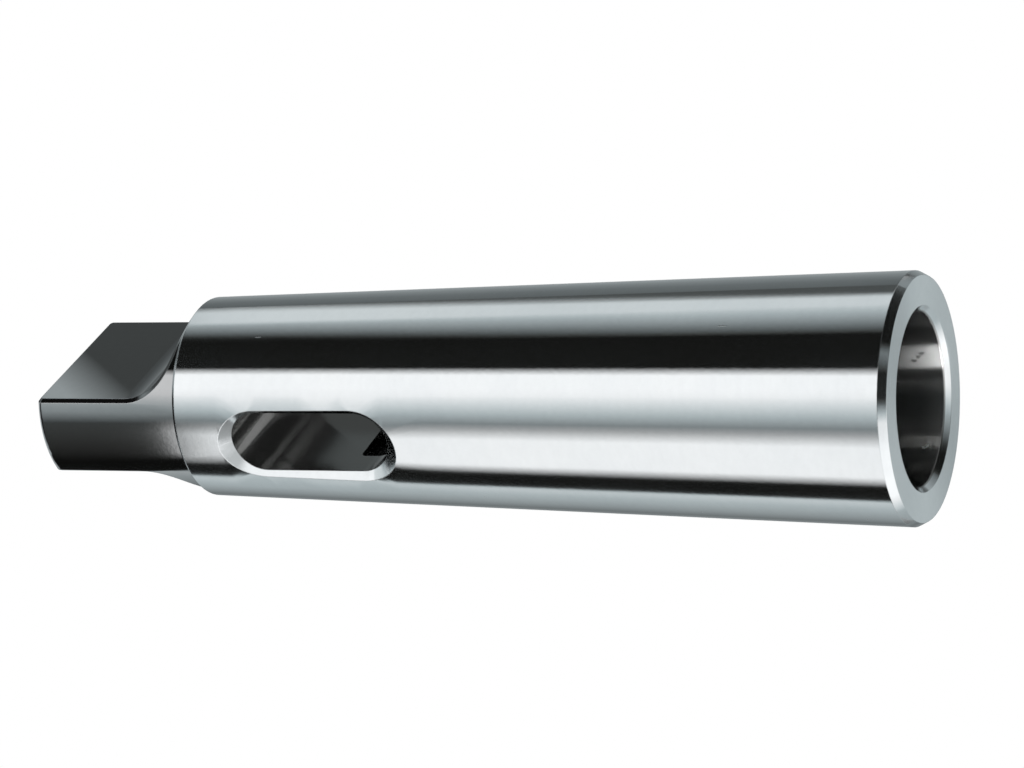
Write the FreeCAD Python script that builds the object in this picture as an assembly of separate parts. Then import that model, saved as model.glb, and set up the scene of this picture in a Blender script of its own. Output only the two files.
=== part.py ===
import FreeCAD, Part
import math
import os
from FreeCAD import Vector

# Reducing sleeve for tapered drill shanks, one turned, milled and ground piece
# Size 5 taper outside, size 4 taper inside, a drive tang and a drift slot
# Z is the turning axis, the large end face lies on z = 0 and the tang points up
# The tang flats face +X and -X, the drift slot runs through along Y

# Overall
overall_length = 171.0

# Outer taper
outer_gauge_dia = 44.399
outer_taper = 1 / 19.002
gauge_to_tip = 149.5
big_end_chamfer_height = 1.5
big_end_chamfer_width = 0.8

# Tang
tang_dia = 35.7
tang_thickness = 15.9
tang_flat_length = 19.0
tang_runout_radius = 10.0
tang_tip_round = 1.2
tang_edge_break = 0.6
# Turned ring left between the runouts and the shoulder
tang_ring = 0.8
shoulder_chamfer = 0.8

# Socket
socket_gauge_dia = 31.267
socket_taper = 1 / 19.254
mouth_chamfer_width = 1.0
mouth_chamfer_height = 1.1
relief_dia = 26.5
socket_depth = 107.0
socket_corner_round = 0.8

# Drift slot
slot_width = 12.2
slot_length = 32.0
# How far the socket reaches into the slot
slot_overlap = 9.0
slot_rim_depth = 2.5

# Centre hole in the tang tip
centre_mouth_dia = 8.5
centre_pilot_dia = 4.0
centre_cone_half_angle = 30.0
centre_pilot_length = 3.0
centre_point_half_angle = 59.0

# How far a removed body reaches beyond the metal
overrun = 5.0
# How close two places count as the same
same_place = 0.02

gauge_height = overall_length - gauge_to_tip
flat_foot_height = overall_length - tang_flat_length
shoulder_height = flat_foot_height - tang_runout_radius - tang_ring
slot_start = socket_depth - slot_overlap
slot_middle = slot_start + slot_length / 2
slot_end_heights = (slot_start + slot_width / 2, slot_start + slot_length - slot_width / 2)
flat_distance = tang_thickness / 2
runout_axis = flat_distance + tang_runout_radius


def outer_radius(height):
    return outer_gauge_dia / 2 + (gauge_height - height) * outer_taper / 2


def socket_radius(height):
    return (socket_gauge_dia - height * socket_taper) / 2


def arc_middle(centre_r, centre_z, radius):
    """Point halfway along a quarter arc that faces outwards and up."""
    offset = radius * math.cos(math.pi / 4)
    return Vector(centre_r + offset, 0, centre_z + offset)


def turned_outside():
    """Outside of the sleeve as turned and ground, before any milling."""
    chamfer_radius = outer_radius(big_end_chamfer_height)
    taper_end = shoulder_height - shoulder_chamfer
    taper_end_radius = outer_radius(taper_end)
    tang_radius = tang_dia / 2
    tip_centre_r = tang_radius - tang_tip_round
    tip_centre_z = overall_length - tang_tip_round
    before_tip = [
        Vector(0, 0, 0),
        Vector(chamfer_radius - big_end_chamfer_width, 0, 0),
        Vector(chamfer_radius, 0, big_end_chamfer_height),
        Vector(taper_end_radius, 0, taper_end),
        Vector(taper_end_radius - shoulder_chamfer, 0, shoulder_height),
        Vector(tang_radius, 0, shoulder_height),
        Vector(tang_radius, 0, tip_centre_z),
    ]
    tip_arc = Part.Arc(
        before_tip[-1],
        arc_middle(tip_centre_r, tip_centre_z, tang_tip_round),
        Vector(tip_centre_r, 0, overall_length),
    )
    after_tip = [
        Vector(tip_centre_r, 0, overall_length),
        Vector(0, 0, overall_length),
        Vector(0, 0, 0),
    ]
    return revolved([Part.makePolygon(before_tip), tip_arc.toShape(), Part.makePolygon(after_tip)])


def socket():
    """Tapered socket with its mouth chamfer, straight relief and flat bottom."""
    mouth_radius = socket_radius(mouth_chamfer_height)
    rim_radius = mouth_radius + mouth_chamfer_width
    relief_radius = relief_dia / 2
    relief_start = (socket_gauge_dia - relief_dia) / socket_taper
    corner_centre_r = relief_radius - socket_corner_round
    corner_centre_z = socket_depth - socket_corner_round
    before_corner = [
        Vector(0, 0, -overrun),
        Vector(rim_radius, 0, -overrun),
        Vector(rim_radius, 0, 0),
        Vector(mouth_radius, 0, mouth_chamfer_height),
        Vector(relief_radius, 0, relief_start),
        Vector(relief_radius, 0, corner_centre_z),
    ]
    corner_arc = Part.Arc(
        before_corner[-1],
        arc_middle(corner_centre_r, corner_centre_z, socket_corner_round),
        Vector(corner_centre_r, 0, socket_depth),
    )
    after_corner = [
        Vector(corner_centre_r, 0, socket_depth),
        Vector(0, 0, socket_depth),
        Vector(0, 0, -overrun),
    ]
    return revolved([Part.makePolygon(before_corner), corner_arc.toShape(), Part.makePolygon(after_corner)])


def centre_hole():
    """Sixty degree centre with its pilot, sunk in the tang tip."""
    mouth_radius = centre_mouth_dia / 2
    pilot_radius = centre_pilot_dia / 2
    cone_depth = (mouth_radius - pilot_radius) / math.tan(math.radians(centre_cone_half_angle))
    pilot_end = overall_length - cone_depth - centre_pilot_length
    point_end = pilot_end - pilot_radius / math.tan(math.radians(centre_point_half_angle))
    outline = [
        Vector(0, 0, overall_length + overrun),
        Vector(mouth_radius, 0, overall_length + overrun),
        Vector(mouth_radius, 0, overall_length),
        Vector(pilot_radius, 0, overall_length - cone_depth),
        Vector(pilot_radius, 0, pilot_end),
        Vector(0, 0, point_end),
        Vector(0, 0, overall_length + overrun),
    ]
    return revolved([Part.makePolygon(outline)])


def revolved(pieces):
    edges = [edge for piece in pieces for edge in piece.Edges]
    wire = Part.Wire(Part.__sortEdges__(edges))
    return Part.Face(wire).revolve(Vector(0, 0, 0), Vector(0, 0, 1), 360)


def tang_side(side):
    """Metal milled off one side of the tang, down to its rounded runout."""
    width = tang_dia + 2 * overrun
    depth = tang_dia / 2 - flat_distance + overrun
    slab = Part.makeBox(
        depth, width, tang_flat_length + overrun,
        Vector(flat_distance, -width / 2, flat_foot_height),
    )
    runout = Part.makeCylinder(
        tang_runout_radius, width, Vector(runout_axis, -width / 2, flat_foot_height), Vector(0, 1, 0),
    )
    cut = slab.fuse(runout)
    if side < 0:
        cut = cut.mirror(Vector(0, 0, 0), Vector(1, 0, 0))
    return cut


def on_milled_side(point):
    if point.z >= flat_foot_height:
        return abs(abs(point.x) - flat_distance) < same_place
    reach = math.hypot(abs(point.x) - runout_axis, point.z - flat_foot_height)
    return abs(reach - tang_runout_radius) < same_place


def tang_edges(body):
    """Sharp edges that run round the two milled sides of the tang."""
    found = []
    for edge in body.Edges:
        middle = edge.valueAt((edge.FirstParameter + edge.LastParameter) / 2)
        on_turned = math.hypot(middle.x, middle.y) > tang_dia / 2 - tang_tip_round
        at_tip = middle.z > overall_length - same_place
        if on_milled_side(middle) and (on_turned or at_tip):
            found.append(edge)
    return found


def slot_body():
    """Drift slot with round ends, running through the sleeve."""
    half = slot_width / 2
    reach = outer_radius(0) + overrun
    middle = Part.makeBox(
        slot_width, 2 * reach, slot_length - slot_width, Vector(-half, -reach, slot_start + half),
    )
    ends = [
        Part.makeCylinder(half, 2 * reach, Vector(0, -reach, height), Vector(0, 1, 0))
        for height in slot_end_heights
    ]
    return middle.fuse(ends)


def slot_rim(side):
    """Rim flared by 45 degrees at one mouth of the drift slot, its foot at one height."""
    half = slot_width / 2
    foot = outer_radius(slot_middle) - slot_rim_depth
    rise = slot_rim_depth + overrun
    wide = half + rise
    low = slot_end_heights[0]
    outline = Part.makePolygon([
        Vector(-half, foot, low),
        Vector(half, foot, low),
        Vector(wide, foot + rise, low),
        Vector(-wide, foot + rise, low),
        Vector(-half, foot, low),
    ])
    middle = Part.Face(outline).extrude(Vector(0, 0, slot_length - slot_width))
    ends = [
        Part.makeCone(half, wide, rise, Vector(0, foot, height), Vector(0, 1, 0))
        for height in slot_end_heights
    ]
    rim = middle.fuse(ends)
    if side < 0:
        rim = rim.mirror(Vector(0, 0, 0), Vector(0, 1, 0))
    return rim


def build_sleeve():
    body = turned_outside().cut(socket())
    body = body.cut([tang_side(1), tang_side(-1)]).Solids[0]
    body = body.makeChamfer(tang_edge_break, tang_edges(body))
    body = body.cut(centre_hole())
    body = body.cut([slot_body(), slot_rim(1), slot_rim(-1)])
    return body.removeSplitter().Solids[0]


os.makedirs("parts", exist_ok=True)
build_sleeve().exportStep("parts/taper_sleeve.step")
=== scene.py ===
import math

import bmesh
import bpy
from mathutils import Matrix, Vector


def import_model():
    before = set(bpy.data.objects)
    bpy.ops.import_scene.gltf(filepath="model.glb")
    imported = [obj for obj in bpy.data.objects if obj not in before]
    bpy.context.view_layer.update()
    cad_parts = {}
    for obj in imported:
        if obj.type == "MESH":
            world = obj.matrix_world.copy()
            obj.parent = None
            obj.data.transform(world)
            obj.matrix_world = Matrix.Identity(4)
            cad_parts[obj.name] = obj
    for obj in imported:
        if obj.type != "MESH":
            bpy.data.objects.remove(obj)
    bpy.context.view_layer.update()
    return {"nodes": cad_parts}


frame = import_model()
scene = bpy.context.scene

# Sizes of the sleeve that the finishes follow, in metres
TANG_START = 0.1412
MOUTH_RADIUS = 0.0166
BORE_RADIUS = 0.0158
BORE_START = 0.0003
BORE_END = 0.1072
SLOT_HALF_WIDTH = 0.00612
SLOT_LOW = 0.0979
SLOT_HIGH = 0.1301
SLOT_FLARE_FOOT = 0.01725
FLAT_DISTANCE = 0.00795
FLAT_FOOT = 0.152
RUNOUT_RADIUS = 0.010
# How far a point may be from a face and still count as on it
NEAR_TANG = 0.00002
NEAR_END_FACE = 0.00004
NEAR_FLAT = 0.00003
NEAR_RUNOUT = 0.00005


# Shader helpers

def add(tree, kind, inputs=(), **settings):
    """A new node with its settings, and its inputs linked or set by name or number."""
    made = tree.nodes.new(kind)
    for name, value in settings.items():
        setattr(made, name, value)
    for name, value in dict(inputs).items():
        if isinstance(value, bpy.types.NodeSocket):
            tree.links.new(value, made.inputs[name])
        else:
            made.inputs[name].default_value = value
    return made


def calc(tree, operation, *values):
    made = add(tree, "ShaderNodeMath", dict(enumerate(values)), operation=operation)
    return made.outputs[0]


def fade(tree, value, start, end, low=0.0, high=1.0):
    """low where value is at start or before, high where it is at end or after."""
    made = add(tree, "ShaderNodeMapRange", {
        "Value": value, "From Min": start, "From Max": end, "To Min": low, "To Max": high,
    })
    return made.outputs[0]


def blend_value(tree, factor, first, second):
    made = add(tree, "ShaderNodeMix", {0: factor, 2: first, 3: second}, data_type="FLOAT")
    return made.outputs[0]


def blend_colour(tree, factor, first, second, how="MIX"):
    made = add(tree, "ShaderNodeMix", {0: factor, 6: first, 7: second}, data_type="RGBA", blend_type=how)
    return made.outputs[2]


def colour_ramp(tree, factor, stops):
    """Colour that runs in straight steps between stops of (place, colour)."""
    made = add(tree, "ShaderNodeValToRGB", {0: factor})
    points = made.color_ramp.elements
    while len(points) < len(stops):
        points.new(0.5)
    for point, (place, colour) in zip(points, stops):
        point.position = place
        point.color = (*colour, 1)
    return made.outputs[0]


def ramp(tree, factor, stops):
    """Grey level that runs in straight steps between stops of (place, level)."""
    return colour_ramp(tree, factor, [(place, (level, level, level)) for place, level in stops])


def noise(tree, place, scale, detail=2.0, roughness=0.5):
    made = add(tree, "ShaderNodeTexNoise", {
        "Vector": place, "Scale": scale, "Detail": detail, "Roughness": roughness,
    })
    return made.outputs[0]


def new_material(name):
    made = bpy.data.materials.new(name)
    made.use_nodes = True
    made.node_tree.nodes.clear()
    return made, made.node_tree


# Steel

STEEL = (0.69, 0.725, 0.735, 1)
WORN_STEEL = (0.655, 0.695, 0.71, 1)
# Painted shade: the tang's colour is darkened to stand in for the dimmer reflections it shows
TANG_STEEL_PAINTED_SHADE = (0.40, 0.415, 0.42, 1)
# Painted shade: the bore and slot colours are darkened to stand in for the dark inside these hollows
BORE_PAINTED_SHADE_STEEL = (0.40, 0.405, 0.40, 1)
SLOT_PAINTED_SHADE_STEEL = (0.43, 0.435, 0.43, 1)
BARE_STEEL = (0.85, 0.87, 0.88, 1)

# Small nicks: place, then half length across and along the axis, in millimetres
BRIGHT_MARKS = (
    ((17.48, -8.63, 124.16), 0.14, 0.8),
    ((-11.28, -17.29, 80.61), 0.16, 0.5),
    ((-14.95, -16.9, 7.93), 0.3, 0.3),
    ((19.8, -9.45, 31.44), 0.12, 0.9),
    ((-14.14, -16.51, 38.99), 0.16, 0.4),
    ((-13.95, 6.85, 4.0), 0.28, 0.45),
    ((-13.75, 7.25, 3.3), 0.25, 0.4),
)
DARK_MARKS = (
    ((-0.75, 15.46, 6.3), 0.34, 0.55),
    ((0.0, 15.49, 5.4), 0.34, 0.5),
    ((0.7, 15.48, 4.7), 0.34, 0.55),
)


# Roughness of each finish
TAPER_ROUGH = 0.105
TANG_ROUGH = 0.06
MILLED_ROUGH = 0.05
END_FACE_ROUGH = 0.21
BORE_ROUGH = 0.16
SLOT_ROUGH = 0.13
BRIGHT_MARK_ROUGH = 0.3
# How much darker the dark marks are, and how deep any mark is in the relief
DARK_MARK_SHADE = 0.75
MARK_DEPTH = 3.0
# How far lines are drawn out round the axis, and along the milling
ROUND_STRETCH = 0.012
MILLED_STRETCH = 0.06
EDGE_ROUND = 0.00022
RELIEF_DEPTH = 0.00001


def between(tree, value, low, high):
    above = calc(tree, "GREATER_THAN", value, low)
    below = calc(tree, "LESS_THAN", value, high)
    return calc(tree, "MULTIPLY", above, below)


def length_of(tree, first, second):
    squares = [calc(tree, "MULTIPLY", value, value) for value in (first, second)]
    return calc(tree, "SQRT", calc(tree, "ADD", *squares))


def steel_marks(tree, place, wobble, marks):
    """1 in the middle of each small nick, 0 away from them."""
    found = 0.0
    for middle, across, along in marks:
        near = add(tree, "ShaderNodeVectorMath", {
            0: place, 1: [c / 1000 for c in middle],
        }, operation="SUBTRACT")
        sized = add(tree, "ShaderNodeVectorMath", {
            0: near.outputs[0], 1: (1000 / across, 1000 / across, 1000 / along),
        }, operation="MULTIPLY")
        reach = add(tree, "ShaderNodeVectorMath", {0: sized.outputs[0]}, operation="LENGTH").outputs[1]
        found = calc(tree, "MAXIMUM", found, fade(tree, calc(tree, "ADD", reach, wobble), 1.1, 0.6))
    return found


def steel_material():
    made, tree = new_material("ground_steel_worked")
    place = add(tree, "ShaderNodeTexCoord").outputs["Object"]
    axes = add(tree, "ShaderNodeSeparateXYZ", {0: place}).outputs
    x, y, z = axes[0], axes[1], axes[2]
    across = calc(tree, "ABSOLUTE", x)
    depth = calc(tree, "ABSOLUTE", y)
    radius = length_of(tree, x, y)
    angle = calc(tree, "ARCTAN2", y, x)

    # Where each finish lies
    tang = calc(tree, "GREATER_THAN", z, TANG_START - NEAR_TANG)
    end_face = calc(tree, "LESS_THAN", z, NEAR_END_FACE)
    in_bore = calc(tree, "LESS_THAN", radius, BORE_RADIUS)
    in_bore = calc(tree, "MULTIPLY", in_bore, between(tree, z, BORE_START, BORE_END))
    in_slot = calc(tree, "LESS_THAN", across, SLOT_HALF_WIDTH)
    in_slot = calc(tree, "MULTIPLY", in_slot, between(tree, z, SLOT_LOW, SLOT_HIGH))
    in_slot = calc(tree, "MULTIPLY", in_slot, calc(tree, "LESS_THAN", depth, SLOT_FLARE_FOOT))
    flat_gap = calc(tree, "ABSOLUTE", calc(tree, "SUBTRACT", across, FLAT_DISTANCE))
    flat = calc(tree, "LESS_THAN", flat_gap, NEAR_FLAT)
    flat = calc(tree, "MULTIPLY", flat, calc(tree, "GREATER_THAN", z, FLAT_FOOT))
    runout_across = calc(tree, "SUBTRACT", across, FLAT_DISTANCE + RUNOUT_RADIUS)
    runout_reach = length_of(tree, runout_across, calc(tree, "SUBTRACT", z, FLAT_FOOT))
    runout_gap = calc(tree, "ABSOLUTE", calc(tree, "SUBTRACT", runout_reach, RUNOUT_RADIUS))
    runout = calc(tree, "LESS_THAN", runout_gap, NEAR_RUNOUT)
    runout = calc(tree, "MULTIPLY", runout, between(tree, z, TANG_START, FLAT_FOOT))
    milled = calc(tree, "MAXIMUM", flat, runout)

    # Grinding and turning lines run round the axis, fine along it
    round_place = add(tree, "ShaderNodeCombineXYZ", {
        0: calc(tree, "MULTIPLY", angle, ROUND_STRETCH), 1: radius, 2: z,
    }).outputs[0]
    milled_place = add(tree, "ShaderNodeCombineXYZ", {
        0: x, 1: calc(tree, "MULTIPLY", y, MILLED_STRETCH), 2: z,
    }).outputs[0]
    fine_lines = noise(tree, round_place, 3200.0, 3.0, 0.7)
    coarse_lines = noise(tree, round_place, 700.0, 2.0, 0.6)
    milled_lines = noise(tree, milled_place, 900.0, 3.0, 0.6)
    smudges = noise(tree, place, 38.0, 4.0, 0.55)
    specks = noise(tree, place, 1500.0, 2.0, 0.5)
    ripple = noise(tree, place, 1100.0, 2.0, 0.5)
    ragged = fade(tree, specks, 0.2, 0.8, -0.5, 0.5)
    bright, dark = (steel_marks(tree, place, ragged, marks) for marks in (BRIGHT_MARKS, DARK_MARKS))
    marks = calc(tree, "MAXIMUM", bright, dark)

    # Roughness, a little uneven with the smudges and the lines
    rough = blend_value(tree, tang, TAPER_ROUGH, TANG_ROUGH)
    rough = blend_value(tree, milled, rough, MILLED_ROUGH)
    rough = blend_value(tree, end_face, rough, END_FACE_ROUGH)
    rough = blend_value(tree, in_bore, rough, BORE_ROUGH)
    rough = blend_value(tree, in_slot, rough, SLOT_ROUGH)
    rough = calc(tree, "ADD", rough, fade(tree, smudges, 0.35, 0.7, -0.01, 0.012))
    rough = calc(tree, "ADD", rough, fade(tree, fine_lines, 0.3, 0.7, -0.01, 0.01))
    rough = calc(tree, "ADD", rough, calc(tree, "MULTIPLY", bright, BRIGHT_MARK_ROUGH))

    # Colour: bright ground steel, darker on the tang and in the hollows as painted shade
    colour = blend_colour(tree, fade(tree, smudges, 0.4, 0.75), STEEL, WORN_STEEL)
    colour = blend_colour(tree, tang, colour, TANG_STEEL_PAINTED_SHADE)
    # Painted shade inside the bore and the slot
    colour = blend_colour(tree, in_bore, colour, BORE_PAINTED_SHADE_STEEL)
    colour = blend_colour(tree, in_slot, colour, SLOT_PAINTED_SHADE_STEEL)
    shade = fade(tree, coarse_lines, 0.25, 0.75, 0.965, 1.0)
    shade = calc(tree, "SUBTRACT", shade, calc(tree, "MULTIPLY", dark, DARK_MARK_SHADE))
    colour = blend_colour(tree, 1.0, blend_colour(tree, bright, colour, BARE_STEEL), shade, "MULTIPLY")

    # Edges a little rounded, with the lines as relief
    height = calc(tree, "MULTIPLY", fine_lines, 0.35)
    height = calc(tree, "ADD", height, calc(tree, "MULTIPLY", coarse_lines, 0.5))
    height = calc(tree, "ADD", height, calc(tree, "MULTIPLY", ripple, 1.5))
    height = blend_value(tree, milled, height, milled_lines)
    height = calc(tree, "SUBTRACT", height, calc(tree, "MULTIPLY", marks, MARK_DEPTH))
    edges = add(tree, "ShaderNodeBevel", {"Radius": EDGE_ROUND}, samples=6)
    relief = add(tree, "ShaderNodeBump", {
        "Strength": 0.25, "Distance": RELIEF_DEPTH, "Height": height, "Normal": edges.outputs[0],
    })
    tangent = add(tree, "ShaderNodeTangent", direction_type="RADIAL", axis="Z")
    shader = add(tree, "ShaderNodeBsdfPrincipled", {
        "Base Color": colour, "Metallic": 1.0, "Roughness": rough,
        "Anisotropic": 1.0, "Anisotropic Rotation": 0.25,
        "Normal": relief.outputs[0], "Tangent": tangent.outputs[0],
    })
    add(tree, "ShaderNodeOutputMaterial", {0: shader.outputs[0]})
    return made


sleeve = frame["nodes"]["taper_sleeve"]
steel = steel_material()
for number in range(len(sleeve.material_slots)):
    sleeve.material_slots[number].material = steel


# Studio: pale floor, seen through from below, and a tent and cards that only reflections see

FLOOR_RADIUS = 6.0
FLOOR_SIDES = 64
FLOOR_GAP = 0.0001
# Reflections look through the floor this near the sleeve
FLOOR_WINDOW = 0.03
TENT_RADIUS = 3.0


def staged(name, mesh):
    made = bpy.data.objects.new(name, mesh)
    scene.collection.objects.link(made)
    return made


# Cards on the floor that only reflections see, by compass direction in degrees from +X
FLOOR_CARDS = (
    (-180, 0.25), (-165, 0.4), (-110, 0.75), (-40, 0.75), (-30, 0.2), (10, 0.2), (30, 0.7), (42, 0.7),
    (50, 0.1), (130, 0.05), (180, 0.25),
)
# One white card behind the sleeve: its soft side edges, near edge and far edge
REAR_CARD_SIDE = (0.045, 0.035)
REAR_CARD_NEAR = (0.122, 0.126)
REAR_CARD_FAR = (0.154, 0.149)


def floor_material():
    made, tree = new_material("pale_floor")
    place = add(tree, "ShaderNodeTexCoord").outputs["Object"]
    away = add(tree, "ShaderNodeVectorMath", {0: place}, operation="LENGTH").outputs[1]
    near = calc(tree, "LESS_THAN", away, FLOOR_WINDOW)
    rays = add(tree, "ShaderNodeLightPath").outputs
    mirrored = rays["Is Glossy Ray"]
    mouth = calc(tree, "LESS_THAN", away, MOUTH_RADIUS)
    window = calc(tree, "MULTIPLY", mirrored, near)
    window = calc(tree, "MAXIMUM", window, calc(tree, "MULTIPLY", rays["Is Shadow Ray"], mouth))
    below = add(tree, "ShaderNodeNewGeometry").outputs["Backfacing"]
    clear = calc(tree, "MAXIMUM", window, below)
    axes = add(tree, "ShaderNodeSeparateXYZ", {0: place}).outputs
    turn = fade(tree, calc(tree, "ARCTAN2", axes[1], axes[0]), -math.pi, math.pi)
    cards = ramp(tree, turn, [((angle + 180) / 360, level) for angle, level in FLOOR_CARDS])
    side = fade(tree, calc(tree, "ABSOLUTE", axes[0]), *REAR_CARD_SIDE)
    rear = calc(tree, "MULTIPLY", fade(tree, axes[1], *REAR_CARD_NEAR), fade(tree, axes[1], *REAR_CARD_FAR))
    cards = calc(tree, "MAXIMUM", cards, calc(tree, "MULTIPLY", side, rear))
    shade = fade(tree, noise(tree, place, 6.0, 3.0), 0.3, 0.7, 0.88, 0.9)
    shade = blend_colour(tree, mirrored, shade, cards)
    paint = add(tree, "ShaderNodeBsdfDiffuse", {"Color": shade})
    glass = add(tree, "ShaderNodeBsdfTransparent")
    both = add(tree, "ShaderNodeMixShader", {0: clear, 1: paint.outputs[0], 2: glass.outputs[0]})
    add(tree, "ShaderNodeOutputMaterial", {0: both.outputs[0]})
    return made


def floor():
    angles = [2 * math.pi * i / FLOOR_SIDES for i in range(FLOOR_SIDES)]
    points = [(FLOOR_RADIUS * math.cos(angle), FLOOR_RADIUS * math.sin(angle), 0) for angle in angles]
    mesh = bpy.data.meshes.new("floor")
    mesh.from_pydata(points, [], [list(range(FLOOR_SIDES))])
    mesh.materials.append(floor_material())
    staged("floor", mesh).location = (0, 0, -FLOOR_GAP)


# Brightness of the tent by compass direction in degrees from +X, at seven heights
# Each row is a few soft boxes and cards: where their edges lie, and round levels
# A black card returns about 1 %
WALLS = (
    (-180, 0.6), (-168, 0.8), (-165, 0.01), (-150, 0.01), (-95, 0.1), (-60, 1.2), (-48, 1.3), (-43, 0.01),
    (0, 0.01), (35, 0.85), (41, 0.1), (60, 0.1), (110, 0.4), (145, 0.2), (180, 0.6),
)
HORIZON = (
    (-180, 0.5), (-100, 0.3), (-70, 1.0), (45, 1.0), (60, 0.4), (100, 0.1), (120, 0.4), (180, 0.5),
)
LOW = (
    (-180, 0.7), (-160, 1.4), (-140, 1.4), (-105, 1.0), (-95, 0.2), (-60, 0.01), (50, 0.01), (100, 0.6),
    (180, 0.6),
)
BOTTOM = (
    (-180, 0.8), (-160, 1.4), (-130, 1.6), (-85, 1.2), (-65, 0.1), (-60, 0.01), (-35, 0.01), (-15, 0.3),
    (-5, 0.01), (60, 0.01), (130, 0.6), (180, 0.8),
)
NADIR = (
    (-180, 1.0), (-140, 1.3), (-90, 1.2), (-25, 0.5), (25, 0.1), (60, 0.1), (100, 0.3), (180, 1.0),
)
ROOF = (
    (-180, 0.8), (-150, 0.6), (-125, 0.01), (-65, 0.01), (-35, 0.9), (-15, 0.9), (30, 0.1), (100, 0.1),
    (145, 0.9), (180, 0.8),
)
ZENITH = ((-180, 0.75), (180, 0.75))
# The border at 41 degrees in the walls leans: degrees round per degree up, above this height
LEAN = 1.2
LEAN_FROM = 25.0
# Over these directions the lean comes in, and over these it goes
LEAN_IN = (-20, 0)
LEAN_OUT = (60, 48)
# Level that a full ramp stands for
TENT_PEAK = 2.0


# Red, green and blue of dark, grey and bright cards, by their brightness
TINTS = (
    (0.0, (1.0, 1.0, 0.92)), (0.15, (0.92, 1.0, 1.02)), (0.6, (0.92, 1.0, 1.02)), (1.2, (1.02, 1.0, 1.0)),
)


def tint(tree, level):
    brightest = TINTS[-1][0]
    stops = [(place / brightest, colour) for place, colour in TINTS]
    return colour_ramp(tree, calc(tree, "DIVIDE", level, brightest), stops)


def by_compass(tree, turn, stops):
    return ramp(tree, turn, [((angle + 180) / 360, level / TENT_PEAK) for angle, level in stops])


def height_fade(tree, rise, start, end):
    return fade(tree, rise, math.sin(math.radians(start)), math.sin(math.radians(end)))


def tent_material():
    made, tree = new_material("studio_tent")
    place = add(tree, "ShaderNodeTexCoord").outputs["Object"]
    axes = add(tree, "ShaderNodeSeparateXYZ", {0: place}).outputs
    turn = calc(tree, "MULTIPLY", calc(tree, "ARCTAN2", axes[1], axes[0]), 180 / math.pi)
    rise = calc(tree, "DIVIDE", axes[2], TENT_RADIUS)
    height = calc(tree, "MULTIPLY", calc(tree, "ARCSINE", rise), 180 / math.pi)
    above = calc(tree, "MAXIMUM", calc(tree, "SUBTRACT", height, LEAN_FROM), 0.0)
    lean = calc(tree, "MULTIPLY", fade(tree, turn, *LEAN_IN, 0, LEAN), fade(tree, turn, *LEAN_OUT))
    wall_turn = calc(tree, "SUBTRACT", turn, calc(tree, "MULTIPLY", above, lean))
    turn, wall_turn = (fade(tree, angle, -180, 180) for angle in (turn, wall_turn))
    level = by_compass(tree, turn, NADIR)
    # Each row takes over from the one below it between these heights in degrees
    zones = (
        (BOTTOM, turn, -58, -50), (LOW, turn, -33, -29), (HORIZON, turn, -12, -9), (WALLS, wall_turn, -2, 1),
        (ROOF, turn, 48, 54), (ZENITH, turn, 76, 84),
    )
    for stops, angle, start, end in zones:
        level = blend_colour(tree, height_fade(tree, rise, start, end), level, by_compass(tree, angle, stops))
    level = blend_colour(tree, 1.0, level, tint(tree, calc(tree, "MULTIPLY", level, TENT_PEAK)), "MULTIPLY")
    glow = add(tree, "ShaderNodeEmission", {"Color": level, "Strength": TENT_PEAK})
    add(tree, "ShaderNodeOutputMaterial", {0: glow.outputs[0]})
    made.cycles.emission_sampling = "NONE"
    return made


def only_in_reflections(made):
    made.visible_camera = False
    made.visible_diffuse = False
    made.visible_shadow = False
    made.visible_transmission = False


def tent():
    shell = bmesh.new()
    bmesh.ops.create_uvsphere(shell, u_segments=96, v_segments=48, radius=TENT_RADIUS)
    mesh = bpy.data.meshes.new("tent")
    shell.to_mesh(mesh)
    shell.free()
    mesh.materials.append(tent_material())
    only_in_reflections(staged("tent", mesh))


CARD_RADIUS = 0.12
CARD_STEPS = 24
CARD_FADE = 0.003
# Heights between which the low brightness turns into the high one
CARD_HIGH = (0.2005, 0.208)
# Cards that stand close to the sleeve: name, highest place, compass directions over which
# the left edge fades in and the right edge fades out, brightness low down and high up,
# and how far the right edge leans round: degrees gained between two heights
CARDS = (
    ("wide_card", 0.202, (-140.0, -130.0), (-102.0, -86.0), (1.22, 1.22), ()),
    ("front_card", 0.26, (-62.0, -52.0), (-42.6, -35.4), (1.30, 1.40), ((0.043, 0.196, 4.5), )),
    ("side_card", 0.26, (22.0, 27.0), (36.0, 42.5), (0.86, 0.66), (
        (0.047, 0.201, 8.7), (0.201, 0.224, 3.3), (0.224, 0.245, 7.5),
    )),
)


def card_material(name, top, left, right, levels, leans):
    made, tree = new_material(name)
    place = add(tree, "ShaderNodeTexCoord").outputs["Object"]
    axes = add(tree, "ShaderNodeSeparateXYZ", {0: place}).outputs
    turn = calc(tree, "MULTIPLY", calc(tree, "ARCTAN2", axes[1], axes[0]), 180 / math.pi)
    leaning = turn
    for start, end, gain in leans:
        leaning = calc(tree, "SUBTRACT", leaning, fade(tree, axes[2], start, end, 0, gain))
    solid = calc(tree, "MULTIPLY", fade(tree, turn, *left), fade(tree, axes[2], top, top - CARD_FADE))
    solid = calc(tree, "MULTIPLY", solid, fade(tree, leaning, right[1], right[0]))
    level = fade(tree, axes[2], *CARD_HIGH, *levels)
    glow = add(tree, "ShaderNodeEmission", {"Color": tint(tree, level), "Strength": level})
    clear = add(tree, "ShaderNodeBsdfTransparent")
    both = add(tree, "ShaderNodeMixShader", {0: solid, 1: clear.outputs[0], 2: glow.outputs[0]})
    add(tree, "ShaderNodeOutputMaterial", {0: both.outputs[0]})
    made.cycles.emission_sampling = "NONE"
    return made


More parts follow.
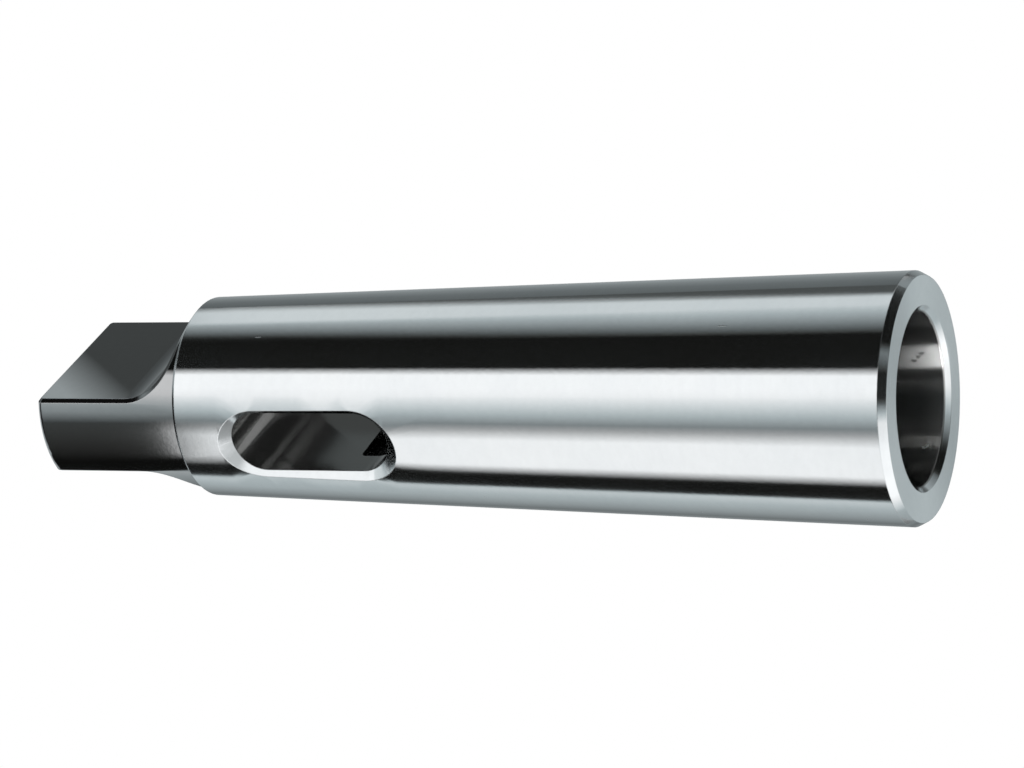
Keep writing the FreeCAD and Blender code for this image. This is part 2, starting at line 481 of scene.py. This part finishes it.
def card(name, top, left, right, levels, leans):
    reach = right[1] + sum(gain for start, end, gain in leans)
    points, faces = [], []
    for i in range(CARD_STEPS + 1):
        turn = math.radians(left[0] + (reach - left[0]) * i / CARD_STEPS)
        for height in (0, top):
            points.append((CARD_RADIUS * math.cos(turn), CARD_RADIUS * math.sin(turn), height))
        if i:
            faces.append((2 * i - 2, 2 * i - 1, 2 * i + 1, 2 * i))
    mesh = bpy.data.meshes.new(name)
    mesh.from_pydata(points, [], faces)
    mesh.materials.append(card_material(name, top, left, right, levels, leans))
    only_in_reflections(staged(name, mesh))


# Strength with which the world lights what isn't metal
WORLD_LIGHT = 0.62


def world():
    made = bpy.data.worlds.new("studio")
    scene.world = made
    made.use_nodes = True
    tree = made.node_tree
    tree.nodes.clear()
    rays = add(tree, "ShaderNodeLightPath").outputs
    seen = calc(tree, "MAXIMUM", rays["Is Glossy Ray"], rays["Is Transmission Ray"])
    seen = calc(tree, "MAXIMUM", rays["Is Camera Ray"], seen)
    strength = blend_value(tree, seen, WORLD_LIGHT, 1.0)
    light = add(tree, "ShaderNodeBackground", {"Color": (1, 1, 1, 1), "Strength": strength})
    add(tree, "ShaderNodeOutputWorld", {0: light.outputs[0]})


def lamp(name, place, target, size, power):
    data = bpy.data.lights.new(name, "AREA")
    data.shape = "RECTANGLE"
    data.size, data.size_y = size
    data.energy = power
    made = bpy.data.objects.new(name, data)
    scene.collection.objects.link(made)
    made.location = place
    made.rotation_mode = "QUATERNION"
    made.rotation_quaternion = (Vector(target) - Vector(place)).to_track_quat("-Z", "Y")
    made.visible_glossy = False
    return made


floor()
tent()
for settings in CARDS:
    card(*settings)
world()
MIDDLE = (0, 0, 0.08)
lamp("key_lamp", (-1.1, -1.0, 1.5), MIDDLE, (1.0, 1.0), 14.0)
lamp("fill_lamp", (1.3, -0.6, 1.2), MIDDLE, (1.2, 1.2), 6.0)
# Stands under the floor to light the socket through its mouth, and only reflections see it
mouth_lamp = lamp("mouth_lamp", (-0.0615, -0.0965, -0.0265), (0, 0, -0.0265), (0.072, 0.037), 0.40)
mouth_lamp.visible_glossy = True
mouth_lamp.visible_diffuse = False
mouth_lamp.visible_camera = False
mouth_lamp.data.cycles.use_multiple_importance_sampling = False


# Camera: long lens from below and beside the large end, turned a quarter round

CAMERA_PLACE = (0.29665, -0.52808, -0.18600)
CAMERA_RIGHT = Vector((-0.19307, 0.35198, -0.91588))
CAMERA_UP = Vector((0.87429, 0.48539, 0.00224))


def camera():
    data = bpy.data.cameras.new("camera")
    data.sensor_width = 36.0
    data.lens = 125.364
    data.clip_start = 0.01
    made = bpy.data.objects.new("camera", data)
    scene.collection.objects.link(made)
    back = CAMERA_RIGHT.cross(CAMERA_UP)
    turned = Matrix((CAMERA_RIGHT, CAMERA_UP, back)).transposed().to_4x4()
    made.matrix_world = Matrix.Translation(CAMERA_PLACE) @ turned
    scene.camera = made


camera()
scene.view_settings.view_transform = "Standard"
